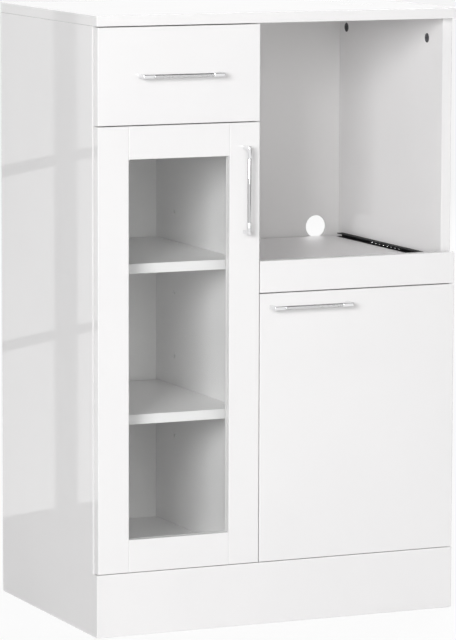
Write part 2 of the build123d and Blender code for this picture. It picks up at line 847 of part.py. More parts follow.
with BuildPart() as hinge_plate_screws:
    for hinges in all_hinges:
        for z in hinges.heights:
            for offset in (-plate_screw_offset, plate_screw_offset):
                head = (hinges.wall_x + hinges.inward * plate_thickness, plate_screw_y, z + offset)
                rod(head, (-hinges.inward, 0, 0), plate_screw_head_radius, plate_screw_head)
                rod(head, (-hinges.inward, 0, 0), plate_screw_radius, plate_thickness + plate_screw_bite)
save(hinge_plate_screws, "hinge_plate_screws")

with BuildPart() as hinge_arms:
    for hinges in all_hinges:
        leg_x = from_wall(hinges.wall_x, hinges.inward, plate_thickness, plate_thickness + arm_sheet)
        far_x = leg_x[1] if hinges.inward > 0 else leg_x[0]
        hook_y = around(pivot_y, arm_sheet)
        for pivot_x, _, z in hinge_points(hinges):
            arm_z = around(z, arm_width)
            block(leg_x, (hook_y[0], plate_y[1]), arm_z)
            block(span(pivot_x, far_x), hook_y, arm_z)
            eye = (pivot_x, pivot_y, arm_z[0])
            rod(eye, (0, 0, 1), eye_radius, arm_width)
            rod(eye, (0, 0, 1), hinge_pin_radius, arm_width, Mode.SUBTRACT)
save(hinge_arms, "hinge_arms")

with BuildPart() as hinge_pins:
    for hinges in all_hinges:
        for pivot_x, _, z in hinge_points(hinges):
            pin_start = (pivot_x, pivot_y, z - hinge_pin_half_length)
            rod(pin_start, (0, 0, 1), hinge_pin_radius, hinge_pin_half_length + hinge_pin_half_length)
save(hinge_pins, "hinge_pins")
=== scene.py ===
"""Looks of the white kitchen sideboard: its finishes, small hardware, studio and camera.

The scene is in metres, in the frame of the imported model: X runs to the right, Y to the back and Z up. The sizes
of the small hardware are in millimetres.
"""

import json
import logging
import math
from dataclasses import dataclass, replace
from enum import Enum
from typing import Callable

import bmesh
import bpy
from mathutils import Matrix, Vector


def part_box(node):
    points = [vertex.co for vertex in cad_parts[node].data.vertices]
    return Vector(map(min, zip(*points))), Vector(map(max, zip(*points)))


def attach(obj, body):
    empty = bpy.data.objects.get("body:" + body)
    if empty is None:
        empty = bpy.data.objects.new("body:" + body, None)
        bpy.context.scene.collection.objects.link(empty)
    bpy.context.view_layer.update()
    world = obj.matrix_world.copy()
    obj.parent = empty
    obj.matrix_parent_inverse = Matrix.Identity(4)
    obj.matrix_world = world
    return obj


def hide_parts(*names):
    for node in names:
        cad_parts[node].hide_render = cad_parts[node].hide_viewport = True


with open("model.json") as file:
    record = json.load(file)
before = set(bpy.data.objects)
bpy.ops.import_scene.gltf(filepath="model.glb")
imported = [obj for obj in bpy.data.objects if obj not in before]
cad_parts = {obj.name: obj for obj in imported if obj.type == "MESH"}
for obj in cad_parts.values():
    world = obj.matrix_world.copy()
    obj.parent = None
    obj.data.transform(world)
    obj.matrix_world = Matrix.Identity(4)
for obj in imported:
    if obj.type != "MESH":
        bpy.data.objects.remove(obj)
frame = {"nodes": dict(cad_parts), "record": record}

LOG = logging.getLogger("sideboard")
MM = 0.001
QUARTER = math.pi / 2.0
FACING = 0.9  # how closely a normal follows an axis to count as facing along it
NEAR = 0.05  # millimetres within which two places count as one
WELD = 0.001 * MM  # points of a new mesh that are closer than this are merged
ROUND_ANGLE = math.radians(35.0)  # faces that meet at less than this are shaded as one round
SIDES = (-1.0, 1.0)
WHITE = (1.0, 1.0, 1.0)

Colour = tuple[float, float, float]
Point = tuple[float, float, float]
Corner = tuple[float, float]
Outline = tuple[Corner, Corner, Corner, Corner]
FaceTest = Callable[[Vector, Vector], bool]
PointTest = Callable[[Vector], bool]


class Body(Enum):
    """The bodies that pieces ride on."""

    CARCASS = "carcass"
    DRAWER = "drawer"
    GLASS_DOOR = "glass_door"
    LOWER_DOOR = "lower_door"


class Slot(Enum):
    """The material slots of the record."""

    GLOSS_BOARD = "white_gloss_board"
    INNER_BOARD = "white_inner_board"
    BACK_BOARD = "white_back_board"
    GLASS = "clear_glass"
    BAR = "brushed_bar"
    FOOT = "chrome_foot"
    SLIDE = "black_slide_steel"
    BRIGHT = "bright_steel"
    CAM = "dark_cam_zinc"
    BEECH = "beech_dowel"
    HINGE = "nickel_hinge_steel"


class Run(Enum):
    """The way that a bar or a grain runs."""

    ALONG_X = 0
    ALONG_Y = 1
    ALONG_Z = 2

    def stretch(self, along: float, across: float) -> Point:
        """Pattern scales that draw a texture out along this way."""
        scales = [across, across, across]
        scales[self.value] = along
        return tuple(scales)

    def tilt(self) -> Point:
        """The turn that lays an upright rod this way."""
        return ((0.0, QUARTER, 0.0), (-QUARTER, 0.0, 0.0), (0.0, 0.0, 0.0))[self.value]


# Node trees


def rgba(colour: Colour) -> tuple[float, float, float, float]:
    """A colour with full opacity."""
    return (*colour, 1.0)


class NodeBench:
    """A node tree with short ways to place nodes, join them and reckon with them."""

    # A Mix node has sockets for numbers and for colours under the same names, so they go by place
    MIX_NUMBERS = (2, 3)
    MIX_COLOURS = (6, 7)
    MIXED_NUMBER = 0
    MIXED_COLOUR = 2

    def __init__(self, tree: bpy.types.NodeTree) -> None:
        """Work on one tree."""
        self.tree = tree

    def place(self, kind: str, **settings: object) -> bpy.types.Node:
        """Add a node.

        Args:
            kind: the node's type name.
            **settings: properties to set on it.

        Returns:
            The new node.
        """
        node = self.tree.nodes.new(kind)
        for name, value in settings.items():
            setattr(node, name, value)
        return node

    def feed(self, source: object, target: bpy.types.NodeSocket) -> None:
        """Join an output to an input, or set the input's own value."""
        if isinstance(source, bpy.types.NodeSocket):
            self.tree.links.new(source, target)
        else:
            target.default_value = source

    def reckon(
        self, operation: str, first: object, second: object = 0.0, clamp: bool = False
    ) -> bpy.types.NodeSocket:
        """Place a Math node.

        Args:
            operation: the Math node's operation.
            first: an output or a number.
            second: an output or a number.
            clamp: whether to hold the result between 0 and 1.

        Returns:
            The node's output.
        """
        node = self.place("ShaderNodeMath", operation=operation, use_clamp=clamp)
        self.feed(first, node.inputs[0])
        self.feed(second, node.inputs[1])
        return node.outputs[0]

    def tint(self, share: object, first: object, second: object) -> bpy.types.NodeSocket:
        """Mix two colours.

        Args:
            share: how much of the second colour shows.
            first: an output or an RGBA colour.
            second: an output or an RGBA colour.

        Returns:
            The mixed colour.
        """
        node = self.place("ShaderNodeMix", data_type="RGBA")
        self.feed(share, node.inputs[0])
        for place, colour in zip(self.MIX_COLOURS, (first, second)):
            self.feed(colour, node.inputs[place])
        return node.outputs[self.MIXED_COLOUR]

    def between(self, share: object, low: object, high: object) -> bpy.types.NodeSocket:
        """A number between two limits, by a share from 0 to 1."""
        node = self.place("ShaderNodeMix", data_type="FLOAT")
        self.feed(share, node.inputs[0])
        for place, limit in zip(self.MIX_NUMBERS, (low, high)):
            self.feed(limit, node.inputs[place])
        return node.outputs[self.MIXED_NUMBER]

    def blend(self, share: object, first: object, second: object) -> bpy.types.NodeSocket:
        """Mix two shaders, by a share from 0 to 1."""
        node = self.place("ShaderNodeMixShader")
        for socket, source in zip(node.inputs, (share, first, second)):
            self.feed(source, socket)
        return node.outputs[0]

    def window(self, value: object, low: float, high: float) -> bpy.types.NodeSocket:
        """Spread the part of a value between two limits over 0 to 1, smoothly."""
        node = self.place("ShaderNodeMapRange", interpolation_type="SMOOTHSTEP")
        self.feed(value, node.inputs["Value"])
        node.inputs["From Min"].default_value = low
        node.inputs["From Max"].default_value = high
        return node.outputs["Result"]

    def noise(self, points: object, scale: object, detail: float, roughness: float) -> bpy.types.NodeSocket:
        """A cloudy pattern.

        Args:
            points: the coordinates that it is laid on.
            scale: its repeats to a metre.
            detail: how many finer layers it has.
            roughness: how strong the finer layers are.

        Returns:
            The pattern's value, from 0 to 1.
        """
        node = self.place("ShaderNodeTexNoise")
        self.feed(points, node.inputs["Vector"])
        self.feed(scale, node.inputs["Scale"])
        node.inputs["Detail"].default_value = detail
        node.inputs["Roughness"].default_value = roughness
        return node.outputs[0]

    def object_points(self, stretch: Point = (1.0, 1.0, 1.0)) -> bpy.types.NodeSocket:
        """Object coordinates, scaled on each axis."""
        coordinates = self.place("ShaderNodeTexCoord")
        mapping = self.place("ShaderNodeMapping")
        mapping.inputs["Scale"].default_value = stretch
        self.feed(coordinates.outputs["Object"], mapping.inputs["Vector"])
        return mapping.outputs["Vector"]

    def effect(self, group: bpy.types.NodeTree, **values: object) -> bpy.types.Node:
        """Place a shared effect.

        Args:
            group: the effect's node group.
            **values: outputs or numbers for its inputs, with underscores for the spaces in their names.

        Returns:
            The group node.
        """
        node = self.place("ShaderNodeGroup", node_tree=group)
        for name, value in values.items():
            self.feed(value, node.inputs[name.replace("_", " ").capitalize()])
        return node


def start_material(name: str) -> tuple[bpy.types.Material, NodeBench]:
    """A new material with an empty node tree, and the bench to work on it."""
    material = bpy.data.materials.new(name)
    material.use_nodes = True
    bench = NodeBench(material.node_tree)
    bench.tree.nodes.clear()
    return material, bench


def start_group(
    name: str, inputs: dict[str, object], outputs: dict[str, str]
) -> tuple[NodeBench, dict[str, bpy.types.NodeSocket], dict[str, bpy.types.NodeSocket]]:
    """Begin a shared effect.

    Args:
        name: the group's name.
        inputs: each input's name and value; a tuple of four makes a colour, one of three a vector and a
            number a float.
        outputs: each output's name and socket type.

    Returns:
        The bench to work on, the group's inputs by name and its outputs by name.
    """
    kinds = {3: "NodeSocketVector", 4: "NodeSocketColor"}
    tree = bpy.data.node_groups.new(name, "ShaderNodeTree")
    for label, value in inputs.items():
        kind = kinds[len(value)] if isinstance(value, tuple) else "NodeSocketFloat"
        socket = tree.interface.new_socket(label, in_out="INPUT", socket_type=kind)
        socket.default_value = value
    for label, kind in outputs.items():
        tree.interface.new_socket(label, in_out="OUTPUT", socket_type=kind)
    bench = NodeBench(tree)
    way_in = bench.place("NodeGroupInput")
    way_out = bench.place("NodeGroupOutput")
    ways_in = {label: way_in.outputs[label] for label in inputs}
    ways_out = {label: way_out.inputs[label] for label in outputs}
    return bench, ways_in, ways_out


class Effects:
    """The surface effects that the finishes share, each built once as a node group."""

    def __init__(self) -> None:
        """Build every group."""
        self.tone_drift = self._tone_drift()
        self.wiped_sheen = self._wiped_sheen()
        self.fine_relief = self._fine_relief()
        self.board_edge = self._board_edge()
        self.scuffs = self._scuffs()

    @staticmethod
    def _tone_drift() -> bpy.types.NodeTree:
        """A colour that wanders a little between two tints."""
        start = {"Points": (0.0, 0.0, 0.0), "First": rgba(WHITE), "Second": rgba(WHITE), "Scale": 3.0}
        bench, given, out = start_group("tone_drift", start, {"Color": "NodeSocketColor"})
        cloud = bench.noise(given["Points"], given["Scale"], detail=3.0, roughness=0.55)
        share = bench.window(cloud, low=0.35, high=0.65)
        bench.feed(bench.tint(share, given["First"], given["Second"]), out["Color"])
        return bench.tree

    @staticmethod
    def _wiped_sheen() -> bpy.types.NodeTree:
        """A roughness with soft patches, as wiping and handling leave."""
        start = {"Points": (0.0, 0.0, 0.0), "Smooth": 0.1, "Rough": 0.2, "Scale": 5.0}
        bench, given, out = start_group("wiped_sheen", start, {"Roughness": "NodeSocketFloat"})
        fineness, fine_share, fine_shift = 9.0, 0.35, -0.17
        broad = bench.noise(given["Points"], given["Scale"], detail=2.0, roughness=0.5)
        fine_scale = bench.reckon("MULTIPLY", given["Scale"], fineness)
        fine = bench.noise(given["Points"], fine_scale, detail=3.0, roughness=0.6)
        share = bench.reckon("MULTIPLY_ADD", fine, fine_share)
        share.node.inputs[2].default_value = fine_shift
        both = bench.reckon("ADD", bench.window(broad, low=0.3, high=0.7), share, clamp=True)
        bench.feed(bench.between(both, given["Smooth"], given["Rough"]), out["Roughness"])
        return bench.tree

    @staticmethod
    def _fine_relief() -> bpy.types.NodeTree:
        """A low relief of two grain sizes, for the height of a bump."""
        start = {"Points": (0.0, 0.0, 0.0), "Scale": 300.0, "Second share": 0.3}
        bench, given, out = start_group("fine_relief", start, {"Height": "NodeSocketFloat"})
        fineness = 4.0
        coarse = bench.noise(given["Points"], given["Scale"], detail=1.0, roughness=0.4)
        fine_scale = bench.reckon("MULTIPLY", given["Scale"], fineness)
        fine = bench.noise(given["Points"], fine_scale, detail=2.0, roughness=0.5)
        bench.feed(bench.between(given["Second share"], coarse, fine), out["Height"])
        return bench.tree

    @staticmethod
    def _board_edge() -> bpy.types.NodeTree:
        """The eased edge of a board: a mask along its edges and a normal that rolls over them."""
        start = {"Radius": 0.8 * MM, "Gain": 3.0}
        ends = {"Mask": "NodeSocketFloat", "Normal": "NodeSocketVector"}
        bench, given, out = start_group("board_edge", start, ends)
        rolled = bench.place("ShaderNodeBevel", samples=6)
        bench.feed(given["Radius"], rolled.inputs["Radius"])
        flat = bench.place("ShaderNodeNewGeometry")
        match = bench.place("ShaderNodeVectorMath", operation="DOT_PRODUCT")
        bench.feed(rolled.outputs["Normal"], match.inputs[0])
        bench.feed(flat.outputs["Normal"], match.inputs[1])
        turned = bench.reckon("SUBTRACT", 1.0, match.outputs["Value"], clamp=True)
        bench.feed(bench.reckon("MULTIPLY", turned, given["Gain"], clamp=True), out["Mask"])
        bench.feed(rolled.outputs["Normal"], out["Normal"])
        return bench.tree

    @staticmethod
    def _scuffs() -> bpy.types.NodeTree:
        """Sparse rubbed marks, drawn out along one way by the coordinates given."""
        start = {"Points": (0.0, 0.0, 0.0), "Scale": 40.0, "Amount": 0.3}
        bench, given, out = start_group("scuffs", start, {"Mask": "NodeSocketFloat"})
        lines = bench.noise(given["Points"], given["Scale"], detail=4.0, roughness=0.65)
        sparse = bench.window(lines, low=0.56, high=0.72)
        bench.feed(bench.reckon("MULTIPLY", sparse, given["Amount"], clamp=True), out["Mask"])
        return bench.tree


EFFECTS = Effects()


# Finishes


@dataclass(frozen=True)
class Finish:
    """A surface finish for one slot of the record.

    Attributes:
        slot: the record's slot.
        tint: its colour.
        second: the tint that it drifts towards.
        smooth: its lowest roughness.
        rough: its highest roughness.
    """

    slot: Slot
    tint: Colour
    second: Colour
    smooth: float
    rough: float

    def make(self, name: str = "") -> bpy.types.Material:
        """Build the material.

        Args:
            name: the material's name, or nothing for the slot's own.

        Returns:
            The new material.
        """
        material, bench = start_material(name or f"{self.slot.value}_finish")
        shader = bench.place("ShaderNodeBsdfPrincipled")
        output = bench.place("ShaderNodeOutputMaterial")
        bench.feed(shader.outputs["BSDF"], output.inputs["Surface"])
        self.shade(bench, shader)
        return material

    def drift(self, bench: NodeBench, points: object, scale: float) -> bpy.types.NodeSocket:
        """The finish's colour, drifting between its two tints."""
        group = bench.effect(
            EFFECTS.tone_drift, points=points, first=rgba(self.tint), second=rgba(self.second), scale=scale
        )
        return group.outputs["Color"]

    def sheen(self, bench: NodeBench, points: object, scale: float) -> bpy.types.NodeSocket:
        """The finish's roughness, with wiped patches."""
        group = bench.effect(
            EFFECTS.wiped_sheen, points=points, smooth=self.smooth, rough=self.rough, scale=scale
        )
        return group.outputs["Roughness"]

    @staticmethod
    def relief(
        bench: NodeBench,
        height: bpy.types.NodeSocket,
        depth: float,
        strength: float,
        normal: bpy.types.NodeSocket | None = None,
    ) -> bpy.types.NodeSocket:
        """Turn a height into a normal.

        Args:
            bench: the material's bench.
            height: the pattern's height.
            depth: its real depth.
            strength: how much of it shows.
            normal: a normal to lay it on, if there is one.

        Returns:
            The normal.
        """
        bump = bench.place("ShaderNodeBump")
        bump.inputs["Strength"].default_value = strength
        bump.inputs["Distance"].default_value = depth
        bench.feed(height, bump.inputs["Height"])
        if normal is not None:
            bench.feed(normal, bump.inputs["Normal"])
        return bump.outputs["Normal"]

    def shade(self, bench: NodeBench, shader: bpy.types.Node) -> None:
        """Join the finish's patterns to the shader."""
        raise NotImplementedError


@dataclass(frozen=True)
class BoardFinish(Finish):
    """White lacquer or melamine on a board, with eased edges and a very low orange peel.

    Scales are repeats to a metre.

    Attributes:
        edge: the tint of the board's edges.
        peel_scale: how fine the orange peel is.
        peel_strength: how much of it shows.
        peel_fine_share: the share of its finer grain.
        peel_depth: its real depth.
        edge_radius: the radius of the eased edges.
        edge_gain: how soon an edge takes on its own tint.
        drift_scale: the scale of the drift in tone.
        sheen_scale: the scale of the wiped patches.
        index: the lacquer's refractive index.
    """

    edge: Colour
    peel_scale: float
    peel_strength: float
    peel_fine_share: float = 0.35
    peel_depth: float = 0.05 * MM
    edge_radius: float = 0.9 * MM
    edge_gain: float = 2.5
    drift_scale: float = 2.6
    sheen_scale: float = 4.0
    index: float = 1.5

    def shade(self, bench: NodeBench, shader: bpy.types.Node) -> None:
        """White that drifts, edges a little duller than the faces, wiped sheen, orange peel."""
        points = bench.object_points()
        edge = bench.effect(EFFECTS.board_edge, radius=self.edge_radius, gain=self.edge_gain)
        colour = self.drift(bench, points, self.drift_scale)
        bench.feed(bench.tint(edge.outputs["Mask"], colour, rgba(self.edge)), shader.inputs["Base Color"])
        bench.feed(self.sheen(bench, points, self.sheen_scale), shader.inputs["Roughness"])
        peel = bench.effect(
            EFFECTS.fine_relief, points=points, scale=self.peel_scale, second_share=self.peel_fine_share
        )
        height = peel.outputs["Height"]
        normal = self.relief(bench, height, self.peel_depth, self.peel_strength, edge.outputs["Normal"])
        bench.feed(normal, shader.inputs["Normal"])
        shader.inputs["IOR"].default_value = self.index


@dataclass(frozen=True)
class GlassFinish(Finish):
    """Clear float glass with the faintest haze.

    Attributes:
        drift_scale: the scale of the drift in tone, in repeats to a metre.
        sheen_scale: the scale of the wiped haze, in repeats to a metre.
        index: the glass's refractive index.
    """

    drift_scale: float = 6.0
    sheen_scale: float = 5.0
    index: float = 1.45

    def shade(self, bench: NodeBench, shader: bpy.types.Node) -> None:
        """Clear all through, with wiped haze in its roughness."""
        points = bench.object_points()
        bench.feed(self.drift(bench, points, self.drift_scale), shader.inputs["Base Color"])
        bench.feed(self.sheen(bench, points, self.sheen_scale), shader.inputs["Roughness"])
        shader.inputs["Transmission Weight"].default_value = 1.0
        shader.inputs["IOR"].default_value = self.index
        path = bench.place("ShaderNodeLightPath")
        lit_through = bench.reckon("MAXIMUM", path.outputs["Is Shadow Ray"], path.outputs["Is Diffuse Ray"])
        clear = bench.place("ShaderNodeBsdfTransparent")
        clear.inputs["Color"].default_value = rgba(self.tint)
        mixed = bench.blend(lit_through, shader.outputs["BSDF"], clear.outputs["BSDF"])
        output = next(node for node in bench.tree.nodes if node.type == "OUTPUT_MATERIAL")
        bench.feed(mixed, output.inputs["Surface"])


@dataclass(frozen=True)
class MetalFinish(Finish):
    """Bare or plated metal with fine lines along one way.

    Scales are repeats to a metre.

    Attributes:
        run: the way that the lines run.
        line_scale: how fine the lines are.
        line_strength: how much of their relief shows.
        line_depth: their real depth.
        line_stretch: the pattern's scale along the lines against across them.
        line_fine_share: the share of finer lines.
        patch_size: the width of a wiped patch, in lines.
        edge_radius: the radius of the eased edges.
        rub_scale: the scale of the rubbed marks.
        rub_amount: how deep they are.
    """

    run: Run
    line_scale: float
    line_strength: float
    line_depth: float = 0.02 * MM
    line_stretch: float = 0.03
    line_fine_share: float = 0.5
    patch_size: float = 6.0
    edge_radius: float = 0.3 * MM
    rub_scale: float = 260.0
    rub_amount: float = 0.25

    def shade(self, bench: NodeBench, shader: bpy.types.Node) -> None:
        """Metal whose tone, sheen and relief follow its fine lines."""
        lines = bench.object_points(self.run.stretch(self.line_stretch, 1.0))
        points = bench.object_points()
        bench.feed(self.drift(bench, lines, self.line_scale), shader.inputs["Base Color"])
        bench.feed(self.sheen(bench, lines, self.line_scale / self.patch_size), shader.inputs["Roughness"])
        grooves = bench.effect(
            EFFECTS.fine_relief, points=lines, scale=self.line_scale, second_share=self.line_fine_share
        )
        edge = bench.effect(EFFECTS.board_edge, radius=self.edge_radius)
        rubbed = bench.effect(EFFECTS.scuffs, points=points, scale=self.rub_scale, amount=self.rub_amount)
        height = bench.reckon("SUBTRACT", grooves.outputs["Height"], rubbed.outputs["Mask"])
        normal = self.relief(bench, height, self.line_depth, self.line_strength, edge.outputs["Normal"])
        bench.feed(normal, shader.inputs["Normal"])
        shader.inputs["Metallic"].default_value = 1.0


@dataclass(frozen=True)
class CoatedSteelFinish(Finish):
    """Dark coated steel, rubbed bright where pieces slide.

    Scales are repeats to a metre.

    Attributes:
        rub: the tint of the bare steel.
        rub_amount: how much of it shows in a rubbed mark.
        run: the way of the travel.
        rub_scale: how fine the rubbed marks are.
        rub_stretch: their scale along the travel against across it.
        edge_radius: the radius of the eased edges.
        edge_gain: how soon an edge counts as turned.
        edge_share: how much of the bare steel shows there.
        drift_scale: the scale of the drift in tone.
        sheen_scale: the scale of the wiped patches.
        grit_scale: how fine the coat's grit is.
        grit_fine_share: the share of its finer grain.
        grit_depth: its real depth.
        grit_strength: how much of it shows.
        specular: how strongly the coat reflects.
    """

    rub: Colour
    rub_amount: float
    run: Run
    rub_scale: float = 420.0
    rub_stretch: float = 0.02
    edge_radius: float = 0.4 * MM
    edge_gain: float = 0.8
    edge_share: float = 0.25
    drift_scale: float = 30.0
    sheen_scale: float = 40.0
    grit_scale: float = 1200.0
    grit_fine_share: float = 0.4
    grit_depth: float = 0.03 * MM
    grit_strength: float = 0.25
    specular: float = 0.12

    def shade(self, bench: NodeBench, shader: bpy.types.Node) -> None:
        """Dark coat with rubbed lines along the travel and paler edges."""
        points = bench.object_points()
        lines = bench.object_points(self.run.stretch(self.rub_stretch, 1.0))
        rubbed = bench.effect(EFFECTS.scuffs, points=lines, scale=self.rub_scale, amount=self.rub_amount)
        edge = bench.effect(EFFECTS.board_edge, radius=self.edge_radius, gain=self.edge_gain)
        worn_edge = bench.reckon("MULTIPLY", edge.outputs["Mask"], self.edge_share)
        worn = bench.reckon("MAXIMUM", rubbed.outputs["Mask"], worn_edge)
        colour = bench.tint(worn, self.drift(bench, points, self.drift_scale), rgba(self.rub))
        bench.feed(colour, shader.inputs["Base Color"])
        bench.feed(self.sheen(bench, points, self.sheen_scale), shader.inputs["Roughness"])
        bench.feed(worn, shader.inputs["Metallic"])
        grit = bench.effect(
            EFFECTS.fine_relief, points=points, scale=self.grit_scale, second_share=self.grit_fine_share
        )
        height = grit.outputs["Height"]
        normal = self.relief(bench, height, self.grit_depth, self.grit_strength, edge.outputs["Normal"])
        bench.feed(normal, shader.inputs["Normal"])
        shader.inputs["Specular IOR Level"].default_value = self.specular


@dataclass(frozen=True)
class WoodFinish(Finish):
    """Plain wood whose grain runs one way.

    Scales are repeats to a metre.

    Attributes:
        run: the way of the grain.
        grain_stretch: the pattern's scale along the grain against across it.
        grain_scale: how fine the grain is in tone.
        sheen_scale: how fine it is in sheen.
        pore_scale: how fine the pores are.
        pore_fine_share: the share of the finer pores.
        pore_depth: their real depth.
        pore_strength: how much of them shows.
    """

    run: Run
    grain_stretch: float = 0.08
    grain_scale: float = 520.0
    sheen_scale: float = 90.0
    pore_scale: float = 900.0
    pore_fine_share: float = 0.5
    pore_depth: float = 0.1 * MM
    pore_strength: float = 0.4

    def shade(self, bench: NodeBench, shader: bpy.types.Node) -> None:
        """Long grain in tone, sheen and relief."""
        grain = bench.object_points(self.run.stretch(self.grain_stretch, 1.0))
        bench.feed(self.drift(bench, grain, self.grain_scale), shader.inputs["Base Color"])
        bench.feed(self.sheen(bench, grain, self.sheen_scale), shader.inputs["Roughness"])
        pores = bench.effect(
            EFFECTS.fine_relief, points=grain, scale=self.pore_scale, second_share=self.pore_fine_share
        )
        normal = self.relief(bench, pores.outputs["Height"], self.pore_depth, self.pore_strength)
        bench.feed(normal, shader.inputs["Normal"])


FINISH_LIST: tuple[Finish, ...] = (
    BoardFinish(
        Slot.GLOSS_BOARD,
        tint=(0.90, 0.892, 0.893),
        second=(0.882, 0.874, 0.876),
        smooth=0.04,
        rough=0.07,
        edge=(0.83, 0.825, 0.825),
        peel_scale=260.0,
        peel_strength=0.012,
    ),
    BoardFinish(
        Slot.INNER_BOARD,
        tint=(0.90, 0.892, 0.89),
        second=(0.88, 0.872, 0.87),
        smooth=0.32,
        rough=0.44,
        edge=(0.78, 0.775, 0.77),
        peel_scale=700.0,
        peel_strength=0.12,
    ),
    BoardFinish(
        Slot.BACK_BOARD,
        tint=(0.90, 0.892, 0.888),
        second=(0.88, 0.872, 0.866),
        smooth=0.30,
        rough=0.42,
        edge=(0.74, 0.73, 0.72),
        peel_scale=520.0,
        peel_strength=0.14,
    ),
    GlassFinish(Slot.GLASS, tint=(0.985, 0.99, 0.988), second=(0.975, 0.983, 0.98), smooth=0.0, rough=0.02),
    MetalFinish(
        Slot.BAR,
        tint=(0.96, 0.96, 0.965),
        second=(0.90, 0.90, 0.91),
        smooth=0.07,
        rough=0.12,
        run=Run.ALONG_X,
        line_scale=2600.0,
        line_strength=0.08,
    ),
    MetalFinish(
        Slot.FOOT,
        tint=(0.86, 0.86, 0.87),
        second=(0.80, 0.80, 0.81),
        smooth=0.05,
        rough=0.09,
        run=Run.ALONG_X,
        line_scale=600.0,
        line_strength=0.03,
    ),
    CoatedSteelFinish(
        Slot.SLIDE,
        tint=(0.010, 0.010, 0.011),
        second=(0.018, 0.018, 0.019),
        smooth=0.5,
        rough=0.66,
        rub=(0.34, 0.34, 0.35),
        rub_amount=0.35,
        run=Run.ALONG_Y,
    ),
    MetalFinish(
        Slot.BRIGHT,
        tint=(0.74, 0.74, 0.75),
        second=(0.62, 0.62, 0.64),
        smooth=0.18,
        rough=0.3,
        run=Run.ALONG_X,
        line_scale=900.0,
        line_strength=0.1,
    ),
    CoatedSteelFinish(
        Slot.CAM,
        tint=(0.085, 0.085, 0.092),
        second=(0.12, 0.12, 0.125),
        smooth=0.42,
        rough=0.6,
        rub=(0.36, 0.36, 0.37),
        rub_amount=0.3,
        run=Run.ALONG_Z,
    ),
    WoodFinish(
        Slot.BEECH,
        tint=(0.72, 0.54, 0.35),
        second=(0.58, 0.40, 0.24),
        smooth=0.5,
        rough=0.65,
        run=Run.ALONG_X,
    ),
    MetalFinish(
        Slot.HINGE,
        tint=(0.68, 0.66, 0.63),
        second=(0.58, 0.565, 0.54),
        smooth=0.2,
        rough=0.32,
        run=Run.ALONG_Y,
        line_scale=700.0,
        line_strength=0.1,
    ),
)
FINISHES: dict[Slot, Finish] = {finish.slot: finish for finish in FINISH_LIST}


class PaintRoom:
    """Makes each finish once and lays it on the pieces."""

    def __init__(self) -> None:
        """Make a material for every slot, one for an upright bar and one for the tray's duller top."""
        self.materials = {slot: finish.make() for slot, finish in FINISHES.items()}
        upright = replace(FINISHES[Slot.BAR], run=Run.ALONG_Z)
        self.upright_bar = upright.make("brushed_bar_upright_finish")
        satin = replace(FINISHES[Slot.GLOSS_BOARD], smooth=0.3, rough=0.4, peel_strength=0.05)
        self.satin_deck = satin.make("white_satin_deck_finish")

    def dress_frame(self) -> None:
        """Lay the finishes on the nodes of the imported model."""
        for subpart in frame["record"]["subparts"]:
            node = frame["nodes"][subpart["node"]]
            self.lay(node, self.materials[Slot(subpart["material_slot"])])
            LOG.info("dressed %s as %s", node.name, subpart["material_slot"])
        self.lay(frame["nodes"]["tray_shelf"], self.satin_deck)

    @staticmethod
    def lay(piece: bpy.types.Object, material: bpy.types.Material) -> None:
        """Put one material on all of a piece."""
        if not piece.material_slots:
            piece.data.materials.append(material)
        for place in piece.material_slots:
            place.material = material


# Small hardware


class Pick(Enum):
    """What is selected in an open mesh."""

    POINTS = "VERT"
    EDGES = "EDGE"
    FACES = "FACE"


